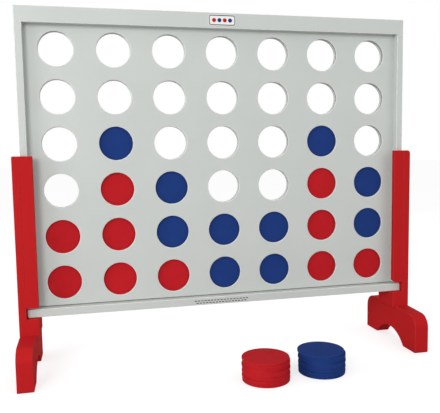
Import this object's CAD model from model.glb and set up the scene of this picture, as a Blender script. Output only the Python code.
import math

import bpy
import bmesh
import numpy as np
from mathutils import Matrix, Vector
from mathutils.geometry import delaunay_2d_cdt


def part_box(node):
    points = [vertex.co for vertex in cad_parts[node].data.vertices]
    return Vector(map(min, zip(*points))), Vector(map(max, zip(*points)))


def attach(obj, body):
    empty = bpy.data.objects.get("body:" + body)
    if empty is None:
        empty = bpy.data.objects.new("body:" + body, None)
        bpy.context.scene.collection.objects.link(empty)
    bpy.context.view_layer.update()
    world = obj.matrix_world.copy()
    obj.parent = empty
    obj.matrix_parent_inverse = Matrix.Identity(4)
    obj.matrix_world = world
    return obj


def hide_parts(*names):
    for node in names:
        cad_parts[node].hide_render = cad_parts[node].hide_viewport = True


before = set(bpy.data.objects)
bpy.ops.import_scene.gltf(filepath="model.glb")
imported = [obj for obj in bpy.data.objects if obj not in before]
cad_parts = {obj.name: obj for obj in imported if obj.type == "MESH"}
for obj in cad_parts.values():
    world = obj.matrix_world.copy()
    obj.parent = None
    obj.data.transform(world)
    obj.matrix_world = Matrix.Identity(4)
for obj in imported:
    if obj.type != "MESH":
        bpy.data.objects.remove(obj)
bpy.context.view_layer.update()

# ---------------------------------------------------------------- sizes, in metres

COLUMNS, ROWS = 7, 6
COL_PITCH, ROW_PITCH = 0.150, 0.125
HOLE_R = 0.0455
BOTTOM_HOLE_Z = 0.244
HOLE_STEPS = 96            # corners round a viewing hole
RIM_ROUND = 0.0018         # rounding of a viewing hole's rim
BOARD_ROUND = 0.0016       # rounding of rails, stiles and bar
STRIP_ROUND = 0.0006
LEG_ROUND = 0.0013
FOOT_ROUND = 0.0016
CORNER = 1.35              # a board's corner radius over the rounding of its rims
LEG_CORNER = {"left": 0.004, "right": 0.009}   # radius of a side board's upper outer corner
CHEEK_CHAMFER = 0.008      # lower inner corner of the right front cheek
DISC_ROUND = 0.0008
DISC_STEPS = 96
HEAD_GAP = 0.0002          # round a fastener's head and shank, inside its hole
EASE = 0.0002              # the small bevel of a head's edge and of its countersink
FASTENER_STEPS, PANEL_HOLE_STEPS = 32, 24
CUTTER_REACH, CUTTER_RISE = 0.016, 0.002       # how far a cutter goes into the wood and out of it
SCREW_SPIN = 37            # degrees from one socket to the next, so that no two look alike
FASTENER_R = {             # radius of the head, then of the shank
    "panel_screws": (0.003, 0.0015),
    "leg_screws": (0.004, 0.002),
    "leg_bolts": (0.006, 0.003),
}

FOOT_L, FOOT_SEAT_Z, FOOT_TOP = 0.294, 0.109, 0.112
FOOT_FORWARD = 0.008       # from the board's middle to the middle of the feet
FOOT_PAD, FOOT_ARCH_H = 0.067, 0.041
FOOT_SHOULDER_R, FOOT_SHOULDER_DROP = 0.036, 0.003
TOE_CORNER, SEAT_CORNER, ARCH_CORNER = 0.004, 0.0025, 0.0035
LEG_DEPTH = 0.090

BODY = "board_and_legs"
MID_Y = (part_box("front_panel")[0][1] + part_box("back_panel")[1][1]) / 2

AXES = {"x": (1, 2, 0), "y": (0, 2, 1), "z": (0, 1, 2)}     # across, up, through


# ---------------------------------------------------------------- outlines

def arc(cx, cy, r, a0, a1, steps):
    return [(cx + r * math.cos(math.radians(a0 + (a1 - a0) * i / steps)),
             cy + r * math.sin(math.radians(a0 + (a1 - a0) * i / steps))) for i in range(steps + 1)]


def circle(cx, cy, r, steps):
    return arc(cx, cy, r, 0, 360, steps)[:-1]


def filleted(corners, steps=4):
    """corners are (x, y, radius); each corner with a radius becomes an arc of that radius."""
    out = []
    count = len(corners)
    for i, (x, y, r) in enumerate(corners):
        if r <= 0:
            out.append((x, y))
            continue
        p = Vector((x, y))
        a = (Vector(corners[i - 1][:2]) - p).normalized()
        b = (Vector(corners[(i + 1) % count][:2]) - p).normalized()
        half = a.angle(b) / 2
        reach = r / math.tan(half)
        centre = p + (a + b).normalized() * (r / math.sin(half))
        start = (p + a * reach) - centre
        turn = start.angle_signed((p + b * reach) - centre)
        for k in range(steps + 1):
            out.append(tuple(centre + Matrix.Rotation(-turn * k / steps, 2) @ start))
    return out


def rectangle(low, high, r):
    return filleted([(low[0], low[1], r), (high[0], low[1], r), (high[0], high[1], r), (low[0], high[1], r)])


def spread(points):
    """For each corner of a closed outline, the direction to move it to offset the outline outward."""
    p = np.array(points)
    e = np.roll(p, -1, 0) - p
    n = np.stack([e[:, 1], -e[:, 0]], 1)
    n /= np.linalg.norm(n, axis=1)[:, None]
    m = np.roll(n, 1, 0)
    area = np.sum(p[:, 0] * np.roll(p[:, 1], -1) - np.roll(p[:, 0], -1) * p[:, 1])
    sign = 1 if area > 0 else -1
    return p, sign * (n + m) / (1 + np.sum(n * m, 1))[:, None]


def rounding(t0, t1, r, steps=3, wall=0.0):
    """A rounded rim from one face to the other: (inset, place through the plate, edge mark).
    The mark is above 0 on the rim, and is wall on the wall between the rims."""
    rows = []
    for k in range(steps + 1):
        a = math.pi / 2 * k / steps
        mark = math.sin(2 * a) if k < steps else wall
        rows.append((r * (1 - math.sin(a)), t0 + r * (1 - math.cos(a)), mark))
    return rows + [(d, t0 + t1 - t, mark) for d, t, mark in reversed(rows)]


# ---------------------------------------------------------------- meshes

def finish_mesh(name, verts, faces, marks, sharp_deg=50):
    mesh = bpy.data.meshes.new(name)
    mesh.from_pydata(verts, [], faces)
    work = bmesh.new()
    work.from_mesh(mesh)
    bmesh.ops.recalc_face_normals(work, faces=work.faces)
    for edge in work.edges:
        edge.smooth = len(edge.link_faces) == 2 and edge.calc_face_angle(0) < math.radians(sharp_deg)
    for face in work.faces:
        face.smooth = True
    work.to_mesh(mesh)
    work.free()
    layer = mesh.attributes.new("edge", "FLOAT", "POINT")
    layer.data.foreach_set("value", marks)
    obj = bpy.data.objects.new(name, mesh)
    bpy.context.scene.collection.objects.link(obj)
    weigh(obj)
    return obj


def weigh(obj):
    mod = obj.modifiers.new("flat_faces", "WEIGHTED_NORMAL")
    mod.keep_sharp = True
    mod.weight = 80


def inside(point, loop):
    """Whether a point is inside a closed loop of points."""
    x, y = point
    p = np.array(loop)
    q = np.roll(p, -1, 0)
    over = (p[:, 1] > y) != (q[:, 1] > y)
    p, q = p[over], q[over]
    return int(np.sum(x < p[:, 0] + (y - p[:, 1]) * (q[:, 0] - p[:, 0]) / (q[:, 1] - p[:, 1]))) % 2 == 1


def cap(loops):
    """Triangles between an outline and its holes, as numbers of the loops' points in order."""
    coords, edges, home = [], [], []
    for number, loop in enumerate(loops):
        first = len(coords)
        coords += [Vector(p) for p in loop]
        home += [number] * len(loop)
        edges += [(first + i, first + (i + 1) % len(loop)) for i in range(len(loop))]
    verts, _, tris, origin, _, _ = delaunay_2d_cdt(coords, edges, [], 2, 1e-7)
    if len(verts) != len(coords):
        raise ValueError("an outline crosses itself")
    kept = []
    for tri in tris:
        tri = [origin[i][0] for i in tri]
        owners = {home[i] for i in tri}
        if len(owners) == 1:
            centre = sum((coords[i] for i in tri), Vector((0, 0))) / 3
            if (home[tri[0]] > 0) == inside(centre, loops[home[tri[0]]]):
                continue
        kept.append(tri)
    return kept


def plate(name, axis, outline, holes, t0, t1, r):
    """A plate with rounded rims. outline is a list of (across, up) points; holes are
    (points, profile) pairs, where profile is a list as rounding() gives, or None."""
    u, v, w = AXES[axis]
    verts, faces, marks, ends = [], [], [], ([], [])
    rims = [(outline, rounding(t0, t1, r), -1)] + \
           [(points, profile or rounding(t0, t1, r, wall=-1.0), 1) for points, profile in holes]
    for points, profile, side in rims:
        p, n = spread(points)
        rings = []
        for inset, t, mark in profile:
            first = len(verts)
            for q in p + side * inset * n:
                place = [0.0, 0.0, 0.0]
                place[u], place[v], place[w] = q[0], q[1], t
                verts.append(place)
                marks.append(mark)
            rings.append(range(first, first + len(p)))
        for a, b in zip(rings, rings[1:]):
            for i in range(len(p)):
                j = (i + 1) % len(p)
                faces.append((a[i], a[j], b[j], b[i]))
        ends[0].append(rings[0])
        ends[1].append(rings[-1])
    for end in ends:
        numbers = [i for ring in end for i in ring]
        loops = [[(verts[i][u], verts[i][v]) for i in ring] for ring in end]
        faces += [tuple(numbers[i] for i in tri) for tri in cap(loops)]
    return finish_mesh(name, verts, faces, marks)


def board(node, axis, r):
    """A board with all its edges rounded, in the CAD node's place."""
    low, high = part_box(node)
    u, v, w = AXES[axis]
    outline = rectangle((low[u], low[v]), (high[u], high[v]), CORNER * r)
    return plate("v_" + node, axis, outline, [], low[w], high[w], r)


def lathe(profile, steps, place, verts, faces, marks):
    """Turns (radius, height, mark) rows about an axis; place maps a point to its seat."""
    rings = []
    for radius, height, mark in profile:
        first = len(verts)
        if radius == 0:
            verts.append(place @ Vector((0, 0, height)))
            marks.append(mark)
            rings.append([first])
            continue
        for i in range(steps):
            a = 2 * math.pi * i / steps
            verts.append(place @ Vector((radius * math.cos(a), radius * math.sin(a), height)))
            marks.append(mark)
        rings.append(list(range(first, first + steps)))
    for a, b in zip(rings, rings[1:]):
        for i in range(steps):
            j = (i + 1) % steps
            if len(a) == 1:
                faces.append((a[0], b[i], b[j]))
            elif len(b) == 1:
                faces.append((a[i], a[j], b[0]))
            else:
                faces.append((a[i], a[j], b[j], b[i]))
    return rings


def islands(node):
    """The boxes of a CAD node's separate solids, as (lowest corner, highest corner)."""
    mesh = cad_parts[node].data
    keys, home = {}, []
    for v in mesh.vertices:
        key = tuple(round(c, 6) for c in v.co)
        home.append(keys.setdefault(key, len(keys)))
    root = list(range(len(keys)))

    def find(i):
        while root[i] != i:
            root[i] = root[root[i]]
            i = root[i]
        return i
    for poly in mesh.polygons:
        ids = [find(home[i]) for i in poly.vertices]
        for i in ids[1:]:
            root[find(i)] = find(ids[0])
    groups = {}
    for key, i in keys.items():
        groups.setdefault(find(i), []).append(key)
    boxes = [(np.min(g, 0), np.max(g, 0)) for g in groups.values()]
    return sorted(boxes, key=lambda b: tuple(np.round((b[0] + b[1]) / 2, 4)))


# ---------------------------------------------------------------- materials

class Graph:
    """A node material with a Principled shader; node() adds a node and links its inputs."""

    def __init__(self, name, **constants):
        self.material = bpy.data.materials.new(name)
        self.material.use_nodes = True
        self.tree = self.material.node_tree
        self.tree.nodes.clear()
        out = self.tree.nodes.new("ShaderNodeOutputMaterial")
        self.shader = self.tree.nodes.new("ShaderNodeBsdfPrincipled")
        self.tree.links.new(self.shader.outputs[0], out.inputs[0])
        for key, value in constants.items():
            self.shader.inputs[key.replace("_", " ")].default_value = value
        self.place = self.tree.nodes.new("ShaderNodeTexCoord").outputs["Object"]

    def node(self, kind, inputs, out=0, **settings):
        made = self.tree.nodes.new(kind)
        for key, value in settings.items():
            setattr(made, key, value)
        for key, value in inputs.items():
            self.feed(made.inputs[key], value)
        return made.outputs[out]

    def feed(self, socket, value):
        if isinstance(value, bpy.types.NodeSocket):
            self.tree.links.new(value, socket)
        else:
            socket.default_value = value

    def noise(self, scale, detail=3.0, stretch=None, rough=0.55, shift=0.0):
        place = self.place
        if stretch or shift:
            place = self.node("ShaderNodeMapping", {"Vector": place, "Scale": stretch or (1, 1, 1),
                                                    "Location": (shift, shift, shift)})
        return self.node("ShaderNodeTexNoise", {"Vector": place, "Scale": scale, "Detail": detail,
                                                "Roughness": rough})

    def ranged(self, value, low, high, to_low, to_high):
        return self.node("ShaderNodeMapRange", {0: value, 1: low, 2: high, 3: to_low, 4: to_high})

    def math(self, operation, a, b):
        return self.node("ShaderNodeMath", {0: a, 1: b}, operation=operation)

    def mix(self, factor, a, b, blend="MIX"):
        return self.node("ShaderNodeMix", {0: factor, 6: a, 7: b}, out=2, data_type="RGBA", blend_type=blend)

    def bump(self, height, distance, below=None):
        inputs = {"Height": height, "Distance": distance, "Strength": 1.0}
        if below is not None:
            inputs["Normal"] = below
        return self.node("ShaderNodeBump", inputs)

    def attribute(self, name):
        return self.node("ShaderNodeAttribute", {}, out="Fac", attribute_name=name)

    def set(self, **links):
        for key, value in links.items():
            self.feed(self.shader.inputs[key.replace("_", " ")], value)
        return self.material


THIN_PAINT = 0.70          # how far a hole's cut wall, thinly painted, goes to the darker colour
STRETCH = {"x": (3, 110, 110), "y": (110, 3, 110), "z": (110, 110, 3)}


def rgba(colour):
    return (*colour, 1.0)


def scaled(colour, k):
    return tuple(c * k for c in colour)


def paint(name, colour, worn, grain, rough, wear=0.5, depth=0.00012, streak=0.2, gloss=0.08):
    """Satin paint over wood: the grain shows faintly, rims are rubbed, the coat has orange peel."""
    g = Graph(name, Specular_IOR_Level=gloss)
    fibre = g.noise(1.0, 6.0, STRETCH[grain], 0.65)
    cloud = g.noise(7.0, 3.0)
    peel = g.noise(650.0, 2.0)
    rub = g.noise(85.0, 4.0, shift=3.7)
    tone = g.mix(g.ranged(cloud, 0.3, 0.7, 0.0, 1.0), rgba(scaled(colour, 0.98)), rgba(scaled(colour, 1.015)))
    tone = g.mix(g.ranged(fibre, 0.52, 0.72, 0.0, streak), tone, rgba(scaled(colour, 0.80)))
    mark = g.attribute("edge")
    tone = g.mix(g.ranged(mark, -1.0, -0.1, THIN_PAINT, 0.0), tone, rgba(scaled(colour, 0.25)))
    rubbed = g.math("MULTIPLY", g.ranged(mark, 0.0, 1.0, 0.0, 1.0), g.ranged(rub, 0.42, 0.66, 0.4, 1.0))
    tone = g.mix(g.math("MULTIPLY", rubbed, wear), tone, rgba(worn))
    coat = g.math("ADD", cloud, g.math("MULTIPLY", peel, 0.3))
    shine = g.ranged(coat, 0.4, 0.9, rough - 0.06, rough + 0.08)
    normal = g.bump(peel, 0.00003, g.bump(fibre, depth))
    return g.set(Base_Color=tone, Roughness=shine, Normal=normal)


def disc_paint(name, colour, worn):
    """A matt sprayed disc, with specks, soft scuffs and rubbed rims."""
    g = Graph(name, Specular_IOR_Level=0.03)
    cloud = g.noise(16.0, 3.0)
    speck = g.noise(420.0, 3.0)
    scuff = g.noise(1.0, 5.0, (55, 260, 55), 0.7, 1.9)
    tone = g.mix(g.ranged(cloud, 0.3, 0.7, 0.0, 1.0), rgba(scaled(colour, 0.94)), rgba(scaled(colour, 1.07)))
    tone = g.mix(g.ranged(scuff, 0.60, 0.80, 0.0, 0.18), tone, rgba(worn))
    rubbed = g.math("MULTIPLY", g.attribute("edge"), g.ranged(cloud, 0.4, 0.65, 0.05, 0.30))
    tone = g.mix(rubbed, tone, rgba(worn))
    tone = g.mix(g.ranged(g.attribute("tone"), 0.0, 1.0, 0.0, 0.10), tone, rgba(scaled(colour, 0.70)))
    shine = g.ranged(scuff, 0.35, 0.75, 0.68, 0.54)
    return g.set(Base_Color=tone, Roughness=shine, Normal=g.bump(speck, 0.00004))


def plated(name, colour, rough):
    g = Graph(name, Metallic=1.0)
    cloud = g.noise(220.0, 3.0)
    fine = g.noise(1400.0, 2.0)
    tone = g.mix(g.ranged(cloud, 0.35, 0.7, 0.0, 1.0), rgba(scaled(colour, 0.78)), rgba(colour))
    return g.set(Base_Color=tone, Roughness=g.ranged(cloud, 0.3, 0.7, rough - 0.08, rough + 0.12),
                 Normal=g.bump(fine, 0.00001))


def bare_wood(name, colour, dark):
    g = Graph(name, Roughness=0.6)
    fibre = g.noise(1.0, 6.0, (180, 180, 6), 0.65)
    tone = g.mix(g.ranged(fibre, 0.35, 0.7, 0.0, 1.0), rgba(colour), rgba(dark))
    return g.set(Base_Color=tone, Normal=g.bump(fibre, 0.0001))


def ink(name, colour):
    g = Graph(name)
    grit = g.noise(900.0, 3.0)
    tone = g.mix(g.ranged(grit, 0.4, 0.7, 0.0, 1.0), rgba(colour), rgba(scaled(colour, 2.2)))
    return g.set(Base_Color=tone, Roughness=g.ranged(grit, 0.3, 0.7, 0.45, 0.6))


GREY, PALE = (0.570, 0.598, 0.572), (0.92, 0.92, 0.90)
RED, RED_WORN = (0.485, 0.0147, 0.0167), (0.60, 0.07, 0.06)
DISC_RED, DISC_RED_WORN = (0.490, 0.0135, 0.0190), (0.55, 0.06, 0.06)
DISC_BLUE, DISC_BLUE_WORN = (0.0140, 0.0420, 0.192), (0.06, 0.11, 0.28)

BOARD_COAT = {"wear": 1.0, "depth": 0.00004, "streak": 0.05, "gloss": 0.3}
BOARD_MAT = {a: paint("board_paint_" + a, GREY, PALE, a, 0.46, **BOARD_COAT) for a in "xz"}
LEG_MAT = {a: paint("leg_paint_" + a, RED, RED_WORN, a, 0.56, wear=0.45, gloss=0.015) for a in "yz"}
RED_MAT = disc_paint("disc_red_paint", DISC_RED, DISC_RED_WORN)
BLUE_MAT = disc_paint("disc_blue_paint", DISC_BLUE, DISC_BLUE_WORN)
STEEL_MAT = plated("zinc_plate", (0.62, 0.63, 0.65), 0.34)
BRASS_MAT = plated("brass_plate", (0.78, 0.64, 0.32), 0.30)
BEECH_MAT = bare_wood("beech_bare", (0.62, 0.42, 0.24), (0.46, 0.28, 0.14))
INK_MAT = ink("grey_ink", (0.045, 0.045, 0.05))
BADGE_MAT = paint("badge_enamel", (0.82, 0.82, 0.80), PALE, "x", 0.35, wear=0.2, depth=0.00001)


def dress(obj, material, slot, body, *nodes):
    obj.data.materials.clear()
    obj.data.materials.append(material)
    if nodes:
        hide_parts(*nodes)
    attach(obj, body)
    return obj


# ---------------------------------------------------------------- board

def viewing_holes():
    out = []
    for c in range(COLUMNS):
        for r in range(ROWS):
            x = (c - (COLUMNS - 1) / 2) * COL_PITCH
            out.append((circle(x, BOTTOM_HOLE_Z + r * ROW_PITCH, HOLE_R, HOLE_STEPS), None))
    return out


def countersink(t0, t1, shank_r, head_r):
    """The wall of a screw hole whose head sits in the face at t1."""
    wide = head_r + HEAD_GAP - shank_r
    fall = math.copysign(1, t1 - t0)
    return [(0, t0, 0), (0, t1 - fall * (wide + EASE), 0), (wide, t1 - fall * EASE, 0.6),
            (wide + EASE, t1, 0)]


def make_panel(node, screws):
    low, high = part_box(node)
    outline = rectangle((low[0], low[2]), (high[0], high[2]), CORNER * RIM_ROUND)
    holes = viewing_holes()
    head_r, shank_r = FASTENER_R["panel_screws"]
    for a, b in screws:
        cx, cz = (a[0] + b[0]) / 2, (a[2] + b[2]) / 2
        wall = circle(cx, cz, shank_r + HEAD_GAP, PANEL_HOLE_STEPS)
        holes.append((wall, countersink(low[1], high[1], shank_r, head_r)))
    obj = plate("v_" + node, "y", outline, holes, low[1], high[1], RIM_ROUND)
    dress(obj, BOARD_MAT["x"], "board_paint", BODY, node)


def make_board():
    screws = islands("panel_screws")
    make_panel("front_panel", [])
    make_panel("back_panel", screws)
    for face in ("front", "back"):
        rail = face + "_top_rail"
        dress(board(rail, "y", BOARD_ROUND), BOARD_MAT["x"], "board_paint", BODY, rail)
        for side in ("left", "right"):
            stile = f"{face}_{side}_stile"
            dress(board(stile, "y", BOARD_ROUND), BOARD_MAT["z"], "board_paint", BODY, stile)
    strips = ["left_spacer", "right_spacer"] + [f"divider_{i}" for i in range(1, COLUMNS)]
    for strip in strips:
        dress(board(strip, "y", STRIP_ROUND), BOARD_MAT["z"], "board_paint", BODY, strip)


# ---------------------------------------------------------------- generic marks

BADGE_W, BADGE_H, BADGE_T = 0.078, 0.031, 0.0009
BADGE_X, BADGE_Z = -0.003, 0.9525
BADGE_MARGIN, BADGE_LINE = 0.0016, 0.0024
BADGE_CORNER = 0.28        # of the badge's height
DOT_RISE, DOT_SINK, DOT_STEPS = 0.0009, 0.0003, 48
BADGE_DOT_R, BADGE_DOT_STEP = 0.0056, 0.0150
DASH_W, DASH_H, DASH_T, DASH_STEP = 0.0068, 0.0027, 0.00015, 0.0094
DASH_X, DASH_COUNT = -0.095, 17
DASH_ROWS = (0.1708, 0.1645)


def make_badge():
    """A plain plaque: a dark border line round four dots in a row."""
    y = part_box("front_top_rail")[0][1]
    low = (BADGE_X - BADGE_W / 2, BADGE_Z - BADGE_H / 2)
    high = (BADGE_X + BADGE_W / 2, BADGE_Z + BADGE_H / 2)
    r = BADGE_H * BADGE_CORNER
    outer = rectangle(low, high, r)
    plaque = plate("badge_plaque", "y", outer, [], y - BADGE_T, y, 0.0003)
    dress(plaque, BADGE_MAT, "board_paint", BODY)
    m = BADGE_MARGIN
    line_out = rectangle((low[0] + m, low[1] + m), (high[0] - m, high[1] - m), r - m)
    m += BADGE_LINE
    line_in = rectangle((low[0] + m, low[1] + m), (high[0] - m, high[1] - m), r - m)
    top = y - BADGE_T - DASH_T
    line = plate("badge_line", "y", line_out, [(line_in, None)], top, y - BADGE_T + DASH_T, 0.00005)
    dress(line, INK_MAT, "board_paint", BODY)
    for i in range(4):
        x = BADGE_X + (i - 1.5) * BADGE_DOT_STEP
        verts, faces, marks = [], [], []
        seat = Matrix.Translation((x, y - BADGE_T, BADGE_Z)) @ Matrix.Rotation(math.radians(90), 4, "X")
        dome = [(0, DOT_RISE, 0)] + [(BADGE_DOT_R * math.sin(a), DOT_RISE * math.cos(a), 0)
                                     for a in (0.5, 0.9, 1.2, 1.45)]
        lathe(dome + [(BADGE_DOT_R, -DOT_SINK, 0), (0, -DOT_SINK, 0)], DOT_STEPS, seat, verts, faces, marks)
        dot = finish_mesh(f"badge_dot_{i + 1}", verts, faces, marks)
        dress(dot, (RED_MAT, BLUE_MAT)[i % 2], ("disc_red", "disc_blue")[i % 2], BODY)


def make_bar():
    bar = board("release_bar", "z", BOARD_ROUND)
    dress(bar, BOARD_MAT["x"], "board_paint", "release_bar", "release_bar")
    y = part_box("release_bar")[0][1]
    for row, z in enumerate(DASH_ROWS):
        verts, faces = [], []
        for i in range(DASH_COUNT - row):
            x = DASH_X + (i + 0.5 * row) * DASH_STEP
            part = plate("dash", "y", rectangle((x, z - DASH_H), (x + DASH_W, z), DASH_H * 0.4), [],
                         y - DASH_T, y + DASH_T, 0.00004)
            first = len(verts)
            verts += [tuple(v.co) for v in part.data.vertices]
            faces += [tuple(first + k for k in p.vertices) for p in part.data.polygons]
            bpy.data.objects.remove(part)
        line = finish_mesh(f"bar_dashes_{row + 1}", verts, faces, [0.0] * len(verts))
        dress(line, INK_MAT, "board_paint", "release_bar")


# ---------------------------------------------------------------- legs and feet

def carve(obj, cutters):
    """Cuts the cutters out of obj and keeps the result as its mesh."""
    for cutter in cutters:
        mod = obj.modifiers.new("cut", "BOOLEAN")
        mod.operation, mod.object, mod.solver = "DIFFERENCE", cutter, "EXACT"
    obj.modifiers.move(0, len(obj.modifiers) - 1)
    seen = obj.evaluated_get(bpy.context.evaluated_depsgraph_get())
    mesh = bpy.data.meshes.new_from_object(seen)
    obj.modifiers.clear()
    obj.data = mesh
    for cutter in cutters:
        bpy.data.objects.remove(cutter)
    weigh(obj)


def fastener_cutter(node, side):
    """One mesh of countersinks for the node's fasteners with heads on that side's outer face."""
    head_r, shank_r = FASTENER_R[node]
    verts, faces, marks = [], [], []
    for low, high in islands(node):
        if (low[0] + high[0]) * side <= 0:
            continue
        head_x = high[0] if side > 0 else low[0]
        seat = Matrix.Translation((head_x, (low[1] + high[1]) / 2, (low[2] + high[2]) / 2)) \
            @ Matrix.Rotation(math.radians(90 * side), 4, "Y")
        wide, fall = head_r + HEAD_GAP, head_r - shank_r
        hole_r = shank_r + HEAD_GAP
        lathe([(0, CUTTER_RISE, 0), (wide + EASE, CUTTER_RISE, 0), (wide + EASE, 0, 0), (wide, -EASE, 0),
               (hole_r, -fall - EASE, 0), (hole_r, -CUTTER_REACH, 0), (0, -CUTTER_REACH, 0)],
              FASTENER_STEPS, seat, verts, faces, marks)
    return finish_mesh("cutter", verts, faces, marks)


def leg_corners(low, high):
    """Corners of a leg board seen from the front, for filleted(): lower two, then upper two."""
    r = CORNER * LEG_ROUND
    return [(low[0], low[2], r), (high[0], low[2], r), (high[0], high[2], r), (low[0], high[2], r)]


def make_side_board(name, side):
    node = name + "_side_board"
    low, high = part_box(node)
    corners = leg_corners(low, high)
    at = 2 if side > 0 else 3
    corners[at] = (*corners[at][:2], LEG_CORNER[name])
    obj = plate("v_" + node, "y", filleted(corners, 8), [], low[1], high[1], LEG_ROUND)
    carve(obj, [fastener_cutter(fasteners, side) for fasteners in ("leg_screws", "leg_bolts")])
    dress(obj, LEG_MAT["z"], "leg_paint", BODY, node)


def make_cheek(node, chamfer, side):
    low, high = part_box(node)
    corners = leg_corners(low, high)
    if chamfer:
        at = 0 if side > 0 else 1
        x, z, r = corners[at]
        along = (x, z + chamfer, r)
        across = (x + side * chamfer, z, r)
        corners[at:at + 1] = [along, across] if side > 0 else [across, along]
    obj = plate("v_" + node, "y", filleted(corners), [], low[1], high[1], LEG_ROUND)
    dress(obj, LEG_MAT["z"], "leg_paint", BODY, node)


def foot_outline():
    """A foot seen from its side, as (y, z) points, counter-clockwise."""
    toe = FOOT_L / 2
    knee_y = toe - FOOT_SHOULDER_R
    knee_z = FOOT_TOP - FOOT_SHOULDER_DROP - FOOT_SHOULDER_R
    arch_half = toe - FOOT_PAD
    arch_r = (arch_half ** 2 + FOOT_ARCH_H ** 2) / (2 * FOOT_ARCH_H)
    drop = math.degrees(math.atan2(arch_half, arch_r - FOOT_ARCH_H))
    arch = arc(0, FOOT_ARCH_H - arch_r, arch_r, 90 + drop, 90 - drop, 40)
    knee = arc(knee_y, knee_z, FOOT_SHOULDER_R, 0, 88, 16)
    shoulder = [(toe, 0, TOE_CORNER)] + [(y, z, 0) for y, z in knee]

    def half(side):
        seat = LEG_DEPTH / 2 + side * FOOT_FORWARD
        return shoulder + [(seat, FOOT_TOP, SEAT_CORNER), (seat, FOOT_SEAT_Z, 0)]

    right = half(1)
    left = [(-y, z, r) for y, z, r in reversed(half(-1))]
    path = right + left + [(arch[0][0], arch[0][1], ARCH_CORNER)] + [(y, z, 0) for y, z in arch[1:-1]] \
        + [(arch[-1][0], arch[-1][1], ARCH_CORNER)]
    return [(y + MID_Y - FOOT_FORWARD, z) for y, z in filleted(path)]


def make_leg(name, side):
    make_side_board(name, side)
    make_cheek(name + "_front_cheek", CHEEK_CHAMFER if name == "right" else 0, side)
    make_cheek(name + "_back_cheek", 0, side)
    post = name + "_post_block"
    dress(board(post, "y", LEG_ROUND), LEG_MAT["z"], "leg_paint", BODY, post)
    low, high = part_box(name + "_foot")
    foot = plate(f"v_{name}_foot", "x", foot_outline(), [], low[0], high[0], FOOT_ROUND)
    dress(foot, LEG_MAT["y"], "leg_paint", BODY, name + "_foot")


# ---------------------------------------------------------------- fasteners

def cross_outline(arm, half):
    pts = [(arm, -half), (arm, half), (half, half)]
    out = []
    for k in range(4):
        turn = Matrix.Rotation(math.radians(90 * k), 2)
        out += [tuple(turn @ Vector(p)) for p in pts]
    return out


def hex_outline(radius):
    return circle(0, 0, radius, 6)


def add_fastener(seat, head_r, shank_r, length, socket, depth, verts, faces, marks):
    """A flat-headed fastener with a socket, its head's face at the seat's origin, facing +Z."""
    rim = head_r - EASE
    profile = [(rim, 0, 0), (head_r, -EASE, 1), (shank_r, -(head_r - shank_r) - EASE, 0),
               (shank_r, -length + shank_r, 0), (shank_r * 0.3, -length + shank_r * 0.2, 0), (0, -length, 0)]
    rings = lathe(profile, FASTENER_STEPS, seat, verts, faces, marks)
    first = len(verts)
    for z, k in ((0, 1.0), (-depth, 0.62)):
        verts.extend(seat @ Vector((x * k, y * k, z)) for x, y in socket)
        marks.extend([0.0] * len(socket))
    n = len(socket)
    top, low = list(range(first, first + n)), list(range(first + n, first + 2 * n))
    faces.extend((top[i], top[(i + 1) % n], low[(i + 1) % n], low[i]) for i in range(n))
    faces.append(tuple(reversed(low)))
    numbers = rings[0] + top
    faces.extend(tuple(numbers[i] for i in tri) for tri in cap([circle(0, 0, rim, FASTENER_STEPS), socket]))


def make_fasteners(node, socket, depth):
    head_r, shank_r = FASTENER_R[node]
    verts, faces, marks = [], [], []
    for i, (low, high) in enumerate(islands(node)):
        size = high - low
        middle = (low + high) / 2
        if size[0] > size[1]:
            side = 1 if middle[0] > 0 else -1
            head = (high[0] if side > 0 else low[0], middle[1], middle[2])
            turn = Matrix.Rotation(math.radians(90 * side), 4, "Y")
            length = size[0]
        else:
            head = (middle[0], high[1], middle[2])
            turn = Matrix.Rotation(math.radians(-90), 4, "X")
            length = size[1]
        spin = Matrix.Rotation(math.radians(SCREW_SPIN * i), 4, "Z")
        add_fastener(Matrix.Translation(head) @ turn @ spin, head_r, shank_r, float(length), socket, depth,
                     verts, faces, marks)
    obj = finish_mesh("v_" + node, verts, faces, marks, 30)
    dress(obj, STEEL_MAT, "steel", BODY, node)


# ---------------------------------------------------------------- discs

TURN = 6.28                # each disc is turned by its own part of a full turn
DISC_SEED = 4


def disc_profile(radius, half):
    rows = [(0, half, 0), (radius * 0.45, half, 0), (radius * 0.9, half, 0)]
    for k in range(5):
        a = math.pi / 2 * k / 4
        r = radius - DISC_ROUND * (1 - math.sin(a))
        rows.append((r, half - DISC_ROUND * (1 - math.cos(a)), math.sin(2 * a)))
    return rows + [(r, -h, mark) for r, h, mark in reversed(rows)]


def finish_discs(node, verts, faces, marks, tones):
    """The piece for a disc or a stack, painted in the colour that its node's name starts with."""
    obj = finish_mesh("v_" + node, verts, faces, marks)
    layer = obj.data.attributes.new("tone", "FLOAT", "POINT")
    layer.data.foreach_set("value", tones)
    red = node.startswith("red")
    dress(obj, RED_MAT if red else BLUE_MAT, "disc_red" if red else "disc_blue", node, node)


def make_disc(node, tone):
    low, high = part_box(node)
    centre = [(a + b) / 2 for a, b in zip(low, high)]
    verts, faces, marks = [], [], []
    spin = Matrix.Rotation(tone * TURN, 4, "Z")
    seat = Matrix.Translation(centre) @ Matrix.Rotation(math.radians(90), 4, "X") @ spin
    lathe(disc_profile((high[0] - low[0]) / 2, (high[1] - low[1]) / 2), DISC_STEPS, seat, verts, faces, marks)
    finish_discs(node, verts, faces, marks, [tone] * len(verts))


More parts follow.
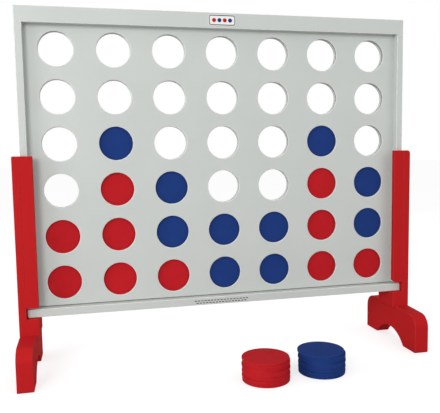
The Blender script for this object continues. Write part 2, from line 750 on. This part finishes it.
def make_stack(node, rng):
    verts, faces, marks, tones = [], [], [], []
    for low, high in islands(node):
        tone = float(rng.random())
        seat = Matrix.Translation([float(c) for c in (low + high) / 2]) @ Matrix.Rotation(tone * TURN, 4, "Z")
        lathe(disc_profile(float(high[0] - low[0]) / 2, float(high[2] - low[2]) / 2), DISC_STEPS, seat,
              verts, faces, marks)
        tones += [tone] * (len(verts) - len(tones))
    finish_discs(node, verts, faces, marks, tones)


def make_discs():
    rng = np.random.default_rng(DISC_SEED)
    for node in sorted(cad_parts):
        if "_disc_" in node:
            make_disc(node, float(rng.random()))
    for node in ("red_stack", "red_stack_top", "blue_stack", "blue_stack_top"):
        make_stack(node, rng)


def keep_cad(node, material):
    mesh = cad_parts[node].data
    mesh.materials.clear()
    mesh.materials.append(material)


# ---------------------------------------------------------------- stage

CAMERA_AT = (-0.3793, MID_Y - 1.6144, 0.5870)
CAMERA_LOOK = (0.22206, 0.97073, -0.09148)
CAMERA_UP = (0.03582, 0.08564, 0.99568)
LENS_MM, SENSOR_MM = 47.13, 36.0
SKY_LIGHT = 0.69
FLOOR_GREY, FLOOR_GLOW = (0.48, 0.48, 0.48), 0.64
FLOOR_HALF, FLOOR_SQUARES, FLOOR_DROP = 30.0, 2, 0.0002
LIGHTS = [                 # name, place, aim, diameter, watts
    ("key", (-1.8, -2.8, 1.6), (0, 0, 0.5), 1.4, 41),
    ("side", (-3.2, -1.2, 0.9), (0, 0, 0.4), 1.6, 30),
    ("fill", (2.2, -2.2, 1.4), (0, 0, 0.5), 2.0, 12),
    ("back", (0.6, 2.8, 2.2), (0, 0, 0.5), 1.6, 20),
]


def make_camera():
    data = bpy.data.cameras.new("camera")
    data.lens, data.sensor_width, data.sensor_fit = LENS_MM, SENSOR_MM, "HORIZONTAL"
    data.clip_start, data.clip_end = 0.01, 100
    cam = bpy.data.objects.new("camera", data)
    back, up = -Vector(CAMERA_LOOK).normalized(), Vector(CAMERA_UP).normalized()
    across = up.cross(back).normalized()
    up = back.cross(across)
    turn = Matrix((across, up, back)).transposed().to_4x4()
    cam.matrix_world = Matrix.Translation(CAMERA_AT) @ turn
    bpy.context.scene.collection.objects.link(cam)
    bpy.context.scene.camera = cam


def make_light(name, at, aim, size, watts):
    data = bpy.data.lights.new(name, "AREA")
    data.shape, data.size, data.energy = "DISK", size, watts
    lamp = bpy.data.objects.new(name, data)
    lamp.location = at
    lamp.rotation_euler = (Vector(aim) - Vector(at)).to_track_quat("-Z", "Y").to_euler()
    bpy.context.scene.collection.objects.link(lamp)


def make_stage():
    size, steps = FLOOR_HALF, FLOOR_SQUARES
    mesh = bpy.data.meshes.new("floor")
    grid = [(-size + 2 * size * i / steps, -size + 2 * size * j / steps, -FLOOR_DROP)
            for j in range(steps + 1) for i in range(steps + 1)]
    n = steps + 1
    mesh.from_pydata(grid, [], [(j * n + i, j * n + i + 1, (j + 1) * n + i + 1, (j + 1) * n + i)
                                for j in range(steps) for i in range(steps)])
    floor = bpy.data.objects.new("floor", mesh)
    bpy.context.scene.collection.objects.link(floor)
    g = Graph("floor_white", Specular_IOR_Level=0.0, Emission_Color=(1, 1, 1, 1))
    tone = g.mix(g.noise(2.0, 2.0), rgba(scaled(FLOOR_GREY, 0.99)), rgba(scaled(FLOOR_GREY, 1.01)))
    seen = g.node("ShaderNodeLightPath", {}, out="Is Camera Ray")
    mesh.materials.append(g.set(Base_Color=tone, Roughness=g.ranged(g.noise(5.0), 0, 1, 0.9, 0.95),
                                Emission_Strength=g.ranged(seen, 0, 1, 0.0, FLOOR_GLOW)))

    world = bpy.data.worlds.new("studio")
    world.use_nodes = True
    tree = world.node_tree
    sky = tree.nodes["Background"]
    sky.inputs["Color"].default_value = (1, 1, 1, 1)
    seen = tree.nodes.new("ShaderNodeLightPath").outputs["Is Camera Ray"]
    level = tree.nodes.new("ShaderNodeMapRange")
    tree.links.new(seen, level.inputs[0])
    level.inputs[3].default_value, level.inputs[4].default_value = SKY_LIGHT, 1.0
    tree.links.new(level.outputs[0], sky.inputs["Strength"])
    bpy.context.scene.world = world
    bpy.context.scene.view_settings.view_transform = "Standard"
    for light in LIGHTS:
        make_light(*light)


# ---------------------------------------------------------------- build

make_camera()
make_board()
make_badge()
make_bar()
make_leg("left", -1)
make_leg("right", 1)
make_fasteners("panel_screws", cross_outline(0.0017, 0.00042), 0.0012)
make_fasteners("leg_screws", cross_outline(0.0024, 0.00055), 0.0018)
make_fasteners("leg_bolts", hex_outline(0.0023), 0.0030)
make_discs()
keep_cad("threaded_inserts", BRASS_MAT)
keep_cad("foot_dowels", BEECH_MAT)
make_stage()
